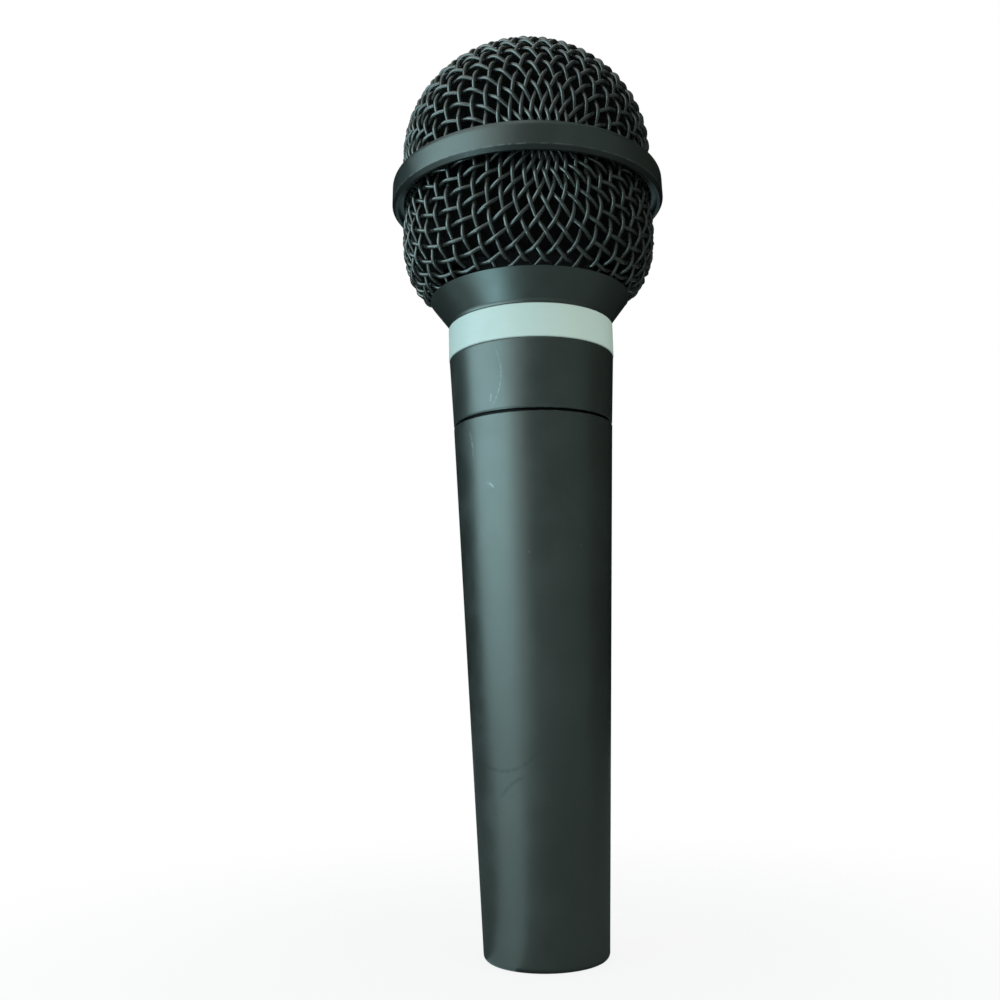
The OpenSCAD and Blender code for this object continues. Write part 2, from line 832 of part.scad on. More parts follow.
module capsule_lead_red() { capsule_lead(1, "#a3242a"); }
module capsule_lead_black() { capsule_lead(-1, "#1b1b1d"); }
module output_lead_white() { output_lead(1, [-3.5, lead_y], "#e4e4de"); }
module output_lead_yellow() { output_lead(2, [0, -lead_y], "#d9b52a"); }
module ground_lead() { output_lead(0, [3.5, lead_y], "#2d6b3f"); }

handle();
head_sleeve();
trim_ring();
grille_collar();
grille_lower_mesh();
grille_band();
grille_upper_mesh();
foam_lower();
foam_upper();
shock_mount();
capsule_frame();
capsule_cap();
cap_cloth();
clamp_ring();
diaphragm();
voice_coil();
pole_cap();
magnet();
magnet_cup();
port_felt();
rear_chamber();
terminal_board();
capsule_terminals();
transformer_core();
transformer_bobbin();
transformer_winding();
transformer_foam();
capsule_lead_red();
capsule_lead_black();
output_lead_white();
output_lead_yellow();
ground_lead();
connector_insert();
contact_pin_1();
contact_pin_2();
contact_pin_3();
ground_spring();
lock_screw();
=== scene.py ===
# %% [markdown]
# # A hand-held vocal microphone
# The imported model says where every piece of the microphone is and how it moves, and this lesson
# gives those pieces their looks. The microphone stands on its tail: z runs up its axis, the front
# faces -y, and every length is in metres. The first cell loads the model as a fixed frame.

# %% Load the frame
import json
import math
import random

import bmesh
import bpy
import numpy as np
from mathutils import Matrix, Vector, noise

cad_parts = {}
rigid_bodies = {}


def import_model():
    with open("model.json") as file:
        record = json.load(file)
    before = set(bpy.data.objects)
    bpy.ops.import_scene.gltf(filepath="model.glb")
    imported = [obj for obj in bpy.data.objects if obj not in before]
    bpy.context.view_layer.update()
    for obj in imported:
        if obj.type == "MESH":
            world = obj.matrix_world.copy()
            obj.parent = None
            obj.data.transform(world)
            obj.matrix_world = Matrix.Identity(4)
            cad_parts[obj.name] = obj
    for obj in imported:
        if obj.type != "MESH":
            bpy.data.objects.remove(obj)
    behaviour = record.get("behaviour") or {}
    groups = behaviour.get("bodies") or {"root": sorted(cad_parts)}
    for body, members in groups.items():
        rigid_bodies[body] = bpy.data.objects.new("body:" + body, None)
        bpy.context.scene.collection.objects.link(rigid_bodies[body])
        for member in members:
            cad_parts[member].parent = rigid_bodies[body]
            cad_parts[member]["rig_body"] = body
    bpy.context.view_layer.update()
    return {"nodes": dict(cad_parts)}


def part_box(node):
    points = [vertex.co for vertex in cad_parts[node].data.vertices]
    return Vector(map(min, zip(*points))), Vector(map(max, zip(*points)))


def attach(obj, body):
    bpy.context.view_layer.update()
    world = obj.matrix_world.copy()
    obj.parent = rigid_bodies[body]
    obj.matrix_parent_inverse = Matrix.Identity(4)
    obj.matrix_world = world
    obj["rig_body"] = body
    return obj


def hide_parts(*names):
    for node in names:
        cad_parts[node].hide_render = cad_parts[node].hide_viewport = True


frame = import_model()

mm = 0.001
nodes = frame["nodes"]

# %% [markdown]
# ## A helper for new pieces
# Most of the microphone is turned or cast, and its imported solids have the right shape, so they
# only need a finish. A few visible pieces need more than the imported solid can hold: the woven
# wire of the grille, the foam behind it, and the thread on the neck. Each of those becomes a new
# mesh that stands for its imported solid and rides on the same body.

# %% Make a piece from points and faces
def new_piece(name, points, faces, stands_for, slot):
    """A smooth-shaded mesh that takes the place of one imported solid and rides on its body."""
    mesh = bpy.data.meshes.new(name)
    mesh.from_pydata([tuple(p) for p in points], [], faces)
    mesh.validate()
    mesh.shade_smooth()
    piece = bpy.data.objects.new(name, mesh)
    bpy.context.scene.collection.objects.link(piece)
    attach(piece, nodes[stands_for]["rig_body"])
    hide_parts(stands_for)
    print(f"{name}: {len(mesh.vertices)} points, {len(mesh.polygons)} faces")
    return piece


# %% [markdown]
# ## The woven wire of the grille
# The real grille is two pieces of plain-woven steel cloth, pressed over a former. Steel wire
# can't stretch, so when flat cloth is pressed into a bowl the little squares shear into diamonds:
# they stay square along the two wires that cross at the pole, and they close up like scissors
# halfway between them. A flat grid wrapped on a ball would miss that, and so would a texture.
#
# The cloth is laid out here as a fisherman's net instead. Two wires start at the pole and run
# down opposite meridians, with a knot every pitch. Every other knot is then the one point of the
# surface that is a pitch away from the two knots before it, which is how cloth that can shear but
# can't stretch has to lie. Only a quarter is worked out, because the other three are its turns.

# %% The surface that the cloth is pressed onto
class Former:
    """Half outline of a dome from its pole outwards, in mm, with the distance along it."""

    def __init__(self, outline, middle):
        corners = np.array(outline, float)
        run = np.insert(np.cumsum(np.linalg.norm(np.diff(corners, axis=0), axis=1)), 0, 0)
        self.run = np.linspace(0, run[-1], 400)
        self.outline = np.stack([np.interp(self.run, run, corners[:, k]) for k in (0, 1)], axis=1)
        self.middle = np.array([0, 0, middle])

    def radius_and_height(self, run):
        return (np.interp(run, self.run, self.outline[:, 0]),
                np.interp(run, self.run, self.outline[:, 1]))

    def point(self, run, turn):
        radius, height = self.radius_and_height(run)
        return np.array([radius * math.cos(turn), radius * math.sin(turn), height])

    def outward(self, run, turn):
        """Direction square to the surface, away from the middle of the head."""
        near, far = (self.radius_and_height(run + step) for step in (-0.4, 0.4))
        slope = np.array([far[0] - near[0], far[1] - near[1]])
        normal = np.array([-slope[1] * math.cos(turn), -slope[1] * math.sin(turn), slope[0]])
        if normal @ (self.point(run, turn) - self.middle) < 0:
            normal = -normal
        return normal / np.linalg.norm(normal)


# %% Find a knot from the two knots before it
def next_knot(former, first, second, start, pitch):
    """Newton's method for the point one pitch from first and from second, or None."""
    run, turn = start
    nudge = 1e-4
    for _ in range(40):
        here = former.point(run, turn)
        miss = np.array([np.linalg.norm(here - first), np.linalg.norm(here - second)]) - pitch
        if abs(miss).max() < 1e-6:
            return run, turn
        along_run = former.point(run + nudge, turn)
        along_turn = former.point(run, turn + nudge)
        change = np.array([
            [np.linalg.norm(moved - knot) - np.linalg.norm(here - knot)
             for moved in (along_run, along_turn)]
            for knot in (first, second)]) / nudge
        if abs(np.linalg.det(change)) < 1e-6:
            return None
        step = np.linalg.solve(change, -miss)
        run += np.clip(step[0], -1, 1)
        turn += np.clip(step[1], -0.2, 0.2)
    return None


# %% Lay out a quarter of the net
def quarter_net(former, pitch, reach):
    """{(i, j): (run, turn)} for the knots of one quarter, out to the distance reach."""
    knots = {(0, 0): (0.0, 0.0)}
    run, count = 0.0, 0
    while run < reach + pitch:
        here, ahead = former.point(run, 0), run + pitch
        for _ in range(20):
            ahead -= np.linalg.norm(former.point(ahead, 0) - here) - pitch
        run, count = ahead, count + 1
        knots[(count, 0)] = (run, 0.0)
        knots[(0, count)] = (run, math.pi / 2)
    for i in range(1, count + 1):
        for j in range(1, count + 1):
            before = [knots.get(key) for key in ((i - 1, j), (i, j - 1), (i - 1, j - 1))]
            if None in before or min(before[0][0], before[1][0]) > reach + pitch:
                continue
            first, second, corner = (former.point(*knot) for knot in before)
            guess = first + second - corner
            distance = np.linalg.norm(
                former.outline - [math.hypot(guess[0], guess[1]), guess[2]], axis=1)
            start = (former.run[distance.argmin()], math.atan2(guess[1], guess[0]))
            knot = next_knot(former, first, second, start, pitch)
            if knot and knot[0] > min(before[0][0], before[1][0]) - 0.1 * pitch:
                knots[(i, j)] = knot
    return knots


def whole_net(former, pitch, reach, turned, dice):
    """Four turns of the quarter, each knot a little astray: {(i, j): (point, outward)}."""
    quarter = quarter_net(former, pitch, reach)
    net = {}
    for side in range(4):
        angle = turned + side * math.pi / 2
        for (i, j), (run, turn) in quarter.items():
            key = [(i, j), (-j, i), (-i, -j), (j, -i)][side]
            stray = pitch * 0.02
            shake = np.array([dice.uniform(-stray, stray) for _ in range(3)])
            outward = former.outward(run, turn + angle)
            net[key] = (former.point(run, turn + angle) + shake - outward * (shake @ outward), outward)
    return net


# %% [markdown]
# In plain weave each wire passes over the next one, under the one after, and so on, so at every
# knot one wire stands a wire's radius above the surface and the other the same below. Between
# knots the height follows half a cosine, which is close to the crimp that a loom leaves in steel
# wire. A tube is drawn along each wire, with its ribs lined up on the surface so that it doesn't
# twist. The thickness varies a little from wire to wire, because no two are crimped quite alike.

# %% Run wires through the net
wire_radius = 0.40
samples = 5
ribs = 8


def smooth_between(before, start, end, after, t):
    """A point of the curve through start and end that heads for their neighbours."""
    return 0.5 * (2 * start + (end - before) * t
                  + (2 * before - 5 * start + 4 * end - after) * t * t
                  + (3 * start - before - 3 * end + after) * t * t * t)


def wire_route(knots, first_side):
    """Points and outward directions along one wire, which starts above the surface or below."""
    route = []
    for k in range(len(knots) - 1):
        near, far = max(k - 1, 0), min(k + 2, len(knots) - 1)
        side = first_side * (-1) ** k
        for step in range(samples):
            t = step / samples
            point, outward = (
                smooth_between(knots[near][part], knots[k][part], knots[k + 1][part],
                               knots[far][part], t) for part in (0, 1))
            outward = outward / np.linalg.norm(outward)
            route.append((point + outward * wire_radius * side * math.cos(math.pi * t), outward))
    return route


def add_tube(route, radius, points, faces):
    """Adds a closed tube along the route to the lists of points and faces."""
    start = len(points)
    centres = np.array([point for point, _ in route])
    along = np.gradient(centres, axis=0)
    for centre, direction, (_, outward) in zip(centres, along, route):
        direction = direction / np.linalg.norm(direction)
        up = outward - direction * (outward @ direction)
        up = up / np.linalg.norm(up)
        side = np.cross(direction, up)
        for rib in range(ribs):
            angle = 2 * math.pi * rib / ribs
            points.append((centre + radius * (math.cos(angle) * up + math.sin(angle) * side)) * mm)
    for ring in range(len(route) - 1):
        for rib in range(ribs):
            a, b = start + ring * ribs + rib, start + ring * ribs + (rib + 1) % ribs
            faces.append((a, b, b + ribs, a + ribs))
    last = start + (len(route) - 1) * ribs
    faces.append([start + rib for rib in reversed(range(ribs))])
    faces.append([last + rib for rib in range(ribs)])


def kept_stretches(route, keep):
    """The unbroken parts of a route where keep(radius, height) is true."""
    stretch = []
    for point, outward in route:
        if keep(math.hypot(point[0], point[1]), point[2]):
            stretch.append((point, outward))
        else:
            if len(stretch) > 2:
                yield stretch
            stretch = []
    if len(stretch) > 2:
        yield stretch


def weave(name, former, pitch, reach, turned, keep, stands_for, seed):
    """Woven cloth on a former, cut where keep(radius, height) is false."""
    dice = random.Random(seed)
    net = whole_net(former, pitch, reach, math.radians(turned), dice)
    points, faces, wires = [], [], 0
    span = range(min(i for i, _ in net), max(i for i, _ in net) + 1)
    for family in (0, 1):
        for line in span:
            numbers = [n for n in span if ((n, line) if family == 0 else (line, n)) in net]
            knots = [net[(n, line) if family == 0 else (line, n)] for n in numbers]
            if len(knots) < 2 or numbers[-1] - numbers[0] + 1 != len(numbers):
                continue
            first_side = (-1) ** (numbers[0] + line) * (1 if family == 0 else -1)
            radius = wire_radius * dice.uniform(0.96, 1.0)
            for stretch in kept_stretches(wire_route(knots, first_side), keep):
                add_tube(stretch, radius, points, faces)
                wires += 1
    print(f"{name}: {len(net)} knots, {wires} wires")
    return new_piece(name, points, faces, stands_for, "mesh_wire")


# %% [markdown]
# The upper dome is half an ellipsoid on a short straight skirt. The lower one is a bowl: its wires
# leave the collar, turn up round a tight bend and run almost straight up to the band. The bowl has
# no pole of its own, because the collar sits there, so the former carries on inwards to where its
# pole would be, and the wires are cut off under the collar's rim. Both cloths end inside the band:
# their outlines carry on past it, so that the net has knots to spare, and the weave is cut there.
#
# The two wires that cross at the pole lie 37 degrees left and 53 degrees right of the front, and
# the cloth is coarse, with about 2.9 mm from wire to wire.

# %% Weave both domes
pitch = 2.9
cloth_turn = -127
clamp_height = 144.85
dome_middle_radius = 24.05
dome_centre = 152.85
dome_middle_rise = 22.0
past_clamp = 8
hidden_edge = 7.5

quarter_turn = np.radians(np.linspace(90, 0, 91))
dome_outline = [(dome_middle_radius * math.cos(a), dome_centre + dome_middle_rise * math.sin(a))
                for a in quarter_turn]
dome_outline[0] = (0, dome_centre + dome_middle_rise)
dome_outline.append((dome_middle_radius, clamp_height - past_clamp))
dome = Former(dome_outline, clamp_height)
upper_cloth = weave("grille_weave_upper", dome, pitch, dome.run[-1] - hidden_edge, cloth_turn,
                    lambda radius, height: height > clamp_height + 0.2,
                    "grille_upper_mesh", seed=3)

bowl_foot, bowl_turn, bowl_head = (19.5, 124.3), (25.8, 128.08), (23.7, 141.95)
foot_slope = (bowl_turn[1] - bowl_foot[1]) / (bowl_turn[0] - bowl_foot[0])
bowl_outline = [(radius, bowl_foot[1] - foot_slope * (bowl_foot[0] ** 2 - radius ** 2) / (2 * bowl_foot[0]))
                for radius in np.linspace(0, bowl_foot[0], 40)[:-1]]
bowl_outline += [tuple((1 - t) ** 2 * np.array(bowl_foot) + 2 * t * (1 - t) * np.array(bowl_turn)
                       + t * t * np.array(bowl_head)) for t in np.linspace(0, 1, 60)]
bowl_outline.append((bowl_head[0], clamp_height + past_clamp))
bowl = Former(bowl_outline, clamp_height)
lower_cloth = weave("grille_weave_lower", bowl, pitch, bowl.run[-1] - hidden_edge, cloth_turn,
                    lambda radius, height: radius > 16.6 and height < clamp_height - 0.2,
                    "grille_lower_mesh", seed=5)

# %% [markdown]
# ## Foam behind the wire
# A liner of open foam stops breath and dust, and it is what makes the holes in the grille look
# black. It is soft and slightly uneven, so it is a turned shell whose surface is pushed in and out
# by noise, with a fine cell pattern left to the material. Only inward moves are allowed on the
# outside, so that the foam never comes through the wire.

# %% Turn a closed outline about the axis
def turned(name, outline, stands_for, slot, segments=160, shift=None):
    """A solid of revolution. outline is a closed loop of (radius, height) in mm."""
    points, faces = [], []
    count = len(outline)
    for segment in range(segments):
        angle = 2 * math.pi * segment / segments
        for radius, height in outline:
            point = Vector((radius * math.cos(angle), radius * math.sin(angle), height))
            points.append((shift(point) if shift else point) * mm)
    for segment in range(segments):
        here, there = segment * count, (segment + 1) % segments * count
        for k in range(count):
            faces.append((here + k, there + k, there + (k + 1) % count, here + (k + 1) % count))
    piece = new_piece(name, points, faces, stands_for, slot)
    work = bmesh.new()
    work.from_mesh(piece.data)
    bmesh.ops.remove_doubles(work, verts=work.verts, dist=1e-7)
    bmesh.ops.recalc_face_normals(work, faces=work.faces)
    work.to_mesh(piece.data)
    work.free()
    return piece


# %% Foam shells
foam_near, foam_far = 1.15, 4.05


def uneven(point, depth=0.35, size=4.0):
    """Moves a point of the foam towards the axis by up to depth."""
    push = depth * (0.5 + 0.5 * noise.noise(point / size)) * min(1, math.hypot(point.x, point.y) / 4)
    inward = Vector((point.x, point.y, 0))
    if inward.length < 1e-6:
        return point
    return point - inward.normalized() * push


def dome_line(inset):
    radius, rise = dome_middle_radius - inset, dome_middle_rise - inset
    return ([(radius, clamp_height + 0.05)]
            + [(radius * math.cos(a), dome_centre + rise * math.sin(a))
               for a in np.radians(np.linspace(0, 89.9, 46))] + [(0, dome_centre + rise)])


def inside_bowl(inset):
    """The bowl's outline moved inwards, from near the collar up to the band."""
    line = np.array(bowl_outline[44:])
    step = np.gradient(line, axis=0)
    step /= np.linalg.norm(step, axis=1)[:, None]
    moved = line + inset * np.stack([-step[:, 1], step[:, 0]], axis=1)
    return [(r, z) for r, z in moved if z < clamp_height - 0.35] + [(moved[-1][0], clamp_height - 0.35)]


upper_foam = turned("foam_liner_upper", dome_line(foam_near) + dome_line(foam_far)[::-1],
                    "foam_upper", "liner_foam", shift=uneven)
lower_foam = turned("foam_liner_lower", inside_bowl(foam_near) + inside_bowl(foam_far)[::-1],
                    "foam_lower", "liner_foam", shift=uneven)

# %% [markdown]
# ## The threaded neck
# When the grille is unscrewed, the neck of the head sleeve comes into view, and on the real
# microphone it carries a fine right-hand thread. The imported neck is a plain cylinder, because the
# motion model couples the grille's turn to its lift by number. Here the same sleeve is turned
# again with its neck cut: the radius falls away from the crest as the height leaves the helix.
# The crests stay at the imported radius, so the thread never touches the collar.

# %% Turn the sleeve and cut its thread
thread_pitch = 1.25
thread_depth = 0.42
edge_break = 0.15
spigot_foot, seam, shoulder, neck_top = 88.5, 97.4, 111.0, 121.5
step_foot, step_head = 106.5, 107.5
neck_radius, neck_bore, spigot_bore, spigot_radius = 14.0, 12.2, 11.75, 13.15
sleeve_foot, sleeve_head, groove_floor, groove_height = 15.35, 16.0, 14.85, 0.5
thread_start, thread_end = shoulder + 0.9, neck_top - 0.5
run_out = 0.6


def threaded(point):
    """Cuts the helix into the outer wall of the neck, fading in and out at its ends."""
    radius = math.hypot(point.x, point.y)
    if radius < neck_radius - 0.01 or not thread_start < point.z < thread_end:
        return point
    turn = math.atan2(point.y, point.x) / (2 * math.pi)
    phase = ((point.z - thread_start) / thread_pitch - turn) % 1
    cut = thread_depth * (1 - abs(2 * phase - 1)) ** 0.8
    fade = min(1, (point.z - thread_start) / run_out, (thread_end - point.z) / run_out)
    scale = (radius - cut * fade) / radius
    return Vector((point.x * scale, point.y * scale, point.z))


neck_wall = [(neck_radius, height) for height in np.linspace(shoulder + 0.1, neck_top - 0.3, 110)]
wall_foot = seam + groove_height + edge_break
wall_head = shoulder - edge_break
sleeve_wall = [(sleeve_foot + (sleeve_head - sleeve_foot) * share,
                wall_foot + (wall_head - wall_foot) * share)
               for share in (0, 0.03, 0.25, 0.5, 0.75, 0.97, 1)]
sleeve = turned("head_sleeve_threaded", [
    (spigot_bore, spigot_foot), (spigot_radius, spigot_foot),
    (spigot_radius, seam - 0.02), (spigot_radius, seam),
    (groove_floor, seam), (groove_floor, seam + 0.1), (groove_floor, seam + groove_height - 0.1),
    (groove_floor, seam + groove_height), (sleeve_foot - edge_break - 0.03, seam + groove_height),
    (sleeve_foot - edge_break, seam + groove_height)] + sleeve_wall + [
    (sleeve_head - edge_break, shoulder), (sleeve_head - edge_break - 0.1, shoulder),
    (neck_radius + 0.1, shoulder)] + [(neck_radius, shoulder)] + neck_wall + [
    (neck_radius - 0.3, neck_top), (neck_bore + 0.1, neck_top), (neck_bore, neck_top - 0.1),
    (neck_bore, step_head), (spigot_bore, step_foot)],
    "head_sleeve", "handle_paint", shift=threaded)

# %% [markdown]
# ## The rubber mount
# The capsule rests on a moulded rubber collar in the neck. Rubber leaves its mould with soft edges,
# and when the capsule is pushed down its shoulder comes to rest on the top of the collar, so the
# collar is turned again with rounded edges and a hair's breadth of room above it.

# %% Turn the rubber mount
mount_foot, mount_head = 112.0, 124.0
mount_bore, mount_wall, mount_flange = 10.05, 12.17, 13.6
rubber_mount = turned("rubber_mount_rounded", [
    (mount_bore + 0.02, mount_foot + 0.02), (mount_wall - 0.1, mount_foot + 0.02),
    (mount_wall, mount_foot + 0.15),
    (mount_wall, neck_top - 0.1), (mount_wall, neck_top), (mount_wall + 0.1, neck_top),
    (mount_flange - 0.3, neck_top), (mount_flange, neck_top + 0.3), (mount_flange, mount_head - 0.4),
    (mount_flange - 0.3, mount_head - 0.08), (mount_flange - 0.4, mount_head - 0.05),
    (mount_bore + 0.3, mount_head - 0.05), (mount_bore + 0.02, mount_head - 0.3)],
    "shock_mount", "rubber")

# %% [markdown]
# ## Finishes
# Every finish below is made from nodes, so it has no pictures to load and stays sharp close up.
# They share a small kit: noise of a given real size, a mask spread between two levels, and a mask
# along a turned edge. Positions are taken from the object's own coordinates, which are metres in
# the microphone's frame and travel with the piece when a joint moves.

# %% A small kit for finishes
class Finish:
    """A material under construction. tint, roughen and emboss each add one layer."""

    def __init__(self, name, colour, roughness, metallic=0.0, **sockets):
        self.material = bpy.data.materials.new(name)
        self.material.use_nodes = True
        self.tree = self.material.node_tree
        self.shader = self.tree.nodes["Principled BSDF"]
        self.shader.inputs["Metallic"].default_value = metallic
        for socket, value in sockets.items():
            self.shader.inputs[socket.replace("_", " ")].default_value = value
        self.place = self.node("ShaderNodeTexCoord").outputs["Object"]
        self.colour, self.roughness, self.normal = (*colour, 1), roughness, None

    def node(self, kind, **settings):
        made = self.tree.nodes.new(kind)
        for key, value in settings.items():
            setattr(made, key, value)
        return made

    def feed(self, socket, value):
        if isinstance(value, bpy.types.NodeSocket):
            self.tree.links.new(value, socket)
        else:
            socket.default_value = value

    def calc(self, operation, *values):
        made = self.node("ShaderNodeMath", operation=operation)
        for socket, value in zip(made.inputs, values):
            self.feed(socket, value)
        return made.outputs[0]

    def noise(self, size, detail=2.0, stretch=(1, 1, 1)):
        """Noise whose patches are about size metres across, from 0 to 1."""
        mapping = self.node("ShaderNodeMapping")
        self.feed(mapping.inputs["Vector"], self.place)
        mapping.inputs["Scale"].default_value = [1 / (size * s) for s in stretch]
        made = self.node("ShaderNodeTexNoise")
        self.feed(made.inputs["Vector"], mapping.outputs[0])
        made.inputs["Scale"].default_value = 1
        made.inputs["Detail"].default_value = detail
        return made.outputs["Fac"]

    def cells(self, size, feature="F1"):
        """Distance from the middle of the nearest of many cells, size metres across."""
        made = self.node("ShaderNodeTexVoronoi", feature=feature)
        self.feed(made.inputs["Vector"], self.place)
        made.inputs["Scale"].default_value = 1 / size
        return made.outputs["Distance"]

    def spread(self, value, start, end, low=0.0, high=1.0):
        """Value from start to end, stretched smoothly to low to high."""
        made = self.node("ShaderNodeMapRange", interpolation_type="SMOOTHSTEP")
        for socket, number in zip(made.inputs, (value, start, end, low, high)):
            self.feed(socket, number)
        return made.outputs[0]

    def reach_and_height(self):
        """Distance from the axis and height, in metres."""
        axes = self.node("ShaderNodeSeparateXYZ")
        self.feed(axes.inputs[0], self.place)
        squares = [self.calc("POWER", axes.outputs[k], 2) for k in (0, 1)]
        return self.calc("SQRT", self.calc("ADD", *squares)), axes.outputs[2]

    def near_edge(self, radius, height, width):
        """1 on the circle at that radius and height (mm), falling to 0 at width from it."""
        offsets = [self.calc("POWER", self.calc("SUBTRACT", found, wanted * mm), 2)
                   for found, wanted in zip(self.reach_and_height(), (radius, height))]
        return self.spread(self.calc("SQRT", self.calc("ADD", *offsets)), width * mm, 0)

    def away_from(self, point):
        """Distance in metres from a point given in mm."""
        made = self.node("ShaderNodeVectorMath", operation="DISTANCE")
        self.feed(made.inputs[0], self.place)
        made.inputs[1].default_value = [v * mm for v in point]
        return made.outputs["Value"]

    def scuff(self, middle, length, bend, width):
        """1 along a curved mark: the part near the middle of a circle drawn about the bend point."""
        radius = math.dist(middle, bend) * mm
        off = self.calc("ABSOLUTE", self.calc("SUBTRACT", self.away_from(bend), radius))
        line = self.spread(off, width * mm, 0)
        part = self.spread(self.away_from(middle), length * mm / 2, length * mm / 4)
        return self.calc("MULTIPLY", line, part)

    def tint(self, mask, colour):
        made = self.node("ShaderNodeMix", data_type="RGBA")
        self.feed(made.inputs["Factor"], mask)
        self.feed(made.inputs[6], self.colour)
        made.inputs[7].default_value = (*colour, 1)
        self.colour = made.outputs[2]

    def roughen(self, mask, roughness):
        made = self.node("ShaderNodeMix", data_type="FLOAT")
        self.feed(made.inputs["Factor"], mask)
        self.feed(made.inputs[2], self.roughness)
        made.inputs[3].default_value = roughness
        self.roughness = made.outputs[0]

    def emboss(self, height, depth, strength=1.0):
        """Raises the surface where height is 1 by depth metres."""
        made = self.node("ShaderNodeBump")
        made.inputs["Strength"].default_value = strength
        made.inputs["Distance"].default_value = depth
        self.feed(made.inputs["Height"], height)
        if self.normal:
            self.feed(made.inputs["Normal"], self.normal)
        self.normal = made.outputs[0]

    def put_on(self, *pieces):
        self.feed(self.shader.inputs["Base Color"], self.colour)
        self.feed(self.shader.inputs["Roughness"], self.roughness)
        if self.normal:
            self.feed(self.shader.inputs["Normal"], self.normal)
        for piece in pieces:
            mesh = (nodes[piece] if isinstance(piece, str) else piece).data
            mesh.materials.clear()
            mesh.materials.append(self.material)
        print(f"{self.material.name}: {len(self.tree.nodes)} nodes on {len(pieces)} piece(s)")


# %% [markdown]
# ## Satin lacquer
# Handle, sleeve, collar and band are zinc and aluminium with a sprayed charcoal lacquer. The
# paint carries fine metal flake, so its broad sheen has the colour of the pigment and the shader is
# mostly metallic. Close up it has a fine orange peel over faint turning lines, it is duller where
# hands have greased it, and it rubs thin along the sharp edges until the primer shows. A few long
# scratches and smudges run over the handle and the sleeve, each a part of a circle.

# %% Charcoal lacquer
def lacquer(name, colour, edges, roughness=0.35):
    """Satin paint, worn along edges given as (radius, height) in mm."""
    finish = Finish(name, colour, roughness, metallic=0.86,
                    Specular_IOR_Level=0.5, Specular_Tint=(0.8, 0.95, 1.0, 1))
    cloud = finish.noise(14 * mm, 3)
    finish.tint(finish.spread(cloud, 0.35, 0.75, 0, 0.35), [c * 1.35 for c in colour])
    finish.roughen(finish.spread(finish.noise(7 * mm, 4), 0.4, 0.7), roughness + 0.07)
    handled = finish.noise(2.2 * mm, 5, stretch=(1, 1, 3))
    finish.roughen(finish.spread(handled, 0.62, 0.8, 0, 0.6), roughness - 0.08)
    dust = finish.spread(finish.cells(5.5 * mm), 0.035, 0.02)
    finish.tint(finish.calc("MULTIPLY", dust, 0.35), (0.30, 0.33, 0.33))
    chips = finish.noise(0.9 * mm, 4)
    for radius, height in edges:
        rim = finish.near_edge(radius, height, 0.45)
        worn = finish.spread(finish.calc("MULTIPLY", rim, chips), 0.36, 0.55, 0, 0.6)
        finish.tint(worn, (0.20, 0.22, 0.22))
        finish.roughen(worn, 0.55)
    finish.emboss(finish.noise(0.45 * mm, 2), 0.010 * mm)
    finish.emboss(finish.noise(0.5 * mm, 2, stretch=(40, 40, 1)), 0.002 * mm)
    finish.emboss(finish.noise(0.09 * mm, 1), 0.0015 * mm)
    return finish


charcoal = (0.105, 0.128, 0.120)
band_radius, collar_radius = (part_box(node)[1].x / mm for node in ("grille_band", "grille_collar"))
band_low, band_high = (corner.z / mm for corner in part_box("grille_band"))
handle_finish = lacquer("satin_lacquer_handle", charcoal, [(11.3, 0.3), (sleeve_foot, seam)])
smudge, scratch = (0.062, 0.078, 0.075), (0.30, 0.36, 0.36)
for middle, length, bend, width, colour in (
        ((-6.1, -11.2, 33.8), 14, (-8.0, -12.0, 43.5), 0.6, smudge),
        ((-5.5, -11.4, 31.4), 8, (1.1, -14.5, 21.9), 0.5, smudge),
        ((-11.3, -10.0, 92.5), 6, (-30.0, -10.0, 90.0), 0.25, scratch),
        ((-7.9, -12.5, 84.5), 2.2, (-9.0, -12.0, 83.0), 0.3, scratch)):
    mark = handle_finish.scuff(middle, length, bend, width)
    rubbed = handle_finish.spread(handle_finish.noise(0.7 * mm, 3), 0.3, 0.6, 0.1, 0.5)
    handle_finish.tint(handle_finish.calc("MULTIPLY", mark, rubbed), colour)
handle_finish.put_on("handle")
sleeve_finish = lacquer("satin_lacquer_sleeve", charcoal,
                        [(sleeve_foot, seam + groove_height), (sleeve_head, shoulder)])
for middle, length, bend, width in (((-5.6, -14.6, 103.9), 13, (-15.0, -11.0, 105.0), 0.2),
                                    ((-7.6, -13.6, 100.4), 2.0, (-20.0, -8.0, 103.0), 0.3)):
    mark = sleeve_finish.scuff(middle, length, bend, width)
    rubbed = sleeve_finish.spread(sleeve_finish.noise(0.5 * mm, 3), 0.35, 0.65, 0.05, 0.35)
    sleeve_finish.tint(sleeve_finish.calc("MULTIPLY", mark, rubbed), scratch)
# Painted shade: the narrow groove above the seam is tinted near black for the shade inside it.
groove_painted_shade = sleeve_finish.near_edge(groove_floor, seam + groove_height / 2, 0.5)
sleeve_finish.tint(sleeve_finish.spread(groove_painted_shade, 0.1, 0.4), (0.004, 0.004, 0.004))
sleeve_finish.put_on(sleeve)
lacquer("satin_lacquer_collar", charcoal,
        [(collar_radius - 0.1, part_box("trim_ring")[1].z / mm + 6.0)]).put_on("grille_collar")
band_finish = lacquer("satin_lacquer_band", [0.87 * c for c in charcoal],
                      [(band_radius, band_low + 0.8), (band_radius - 0.5, band_high - 0.4)])
reach, height = band_finish.reach_and_height()
# Painted shade: the band's underside is tinted darker, and the hollow inside it near black, for the shade
# under the band.
band_underside_shade = band_finish.spread(height, (band_low + 0.9) * mm, (band_low + 0.5) * mm, 0, 0.6)
band_hollow_shade = band_finish.spread(reach, (band_radius - 0.9) * mm, (band_radius - 1.2) * mm)
band_finish.tint(band_underside_shade, (0.03, 0.036, 0.034))
band_finish.tint(band_finish.calc("MULTIPLY", band_underside_shade, band_hollow_shade), (0.004, 0.005, 0.005))
band_finish.put_on("grille_band")

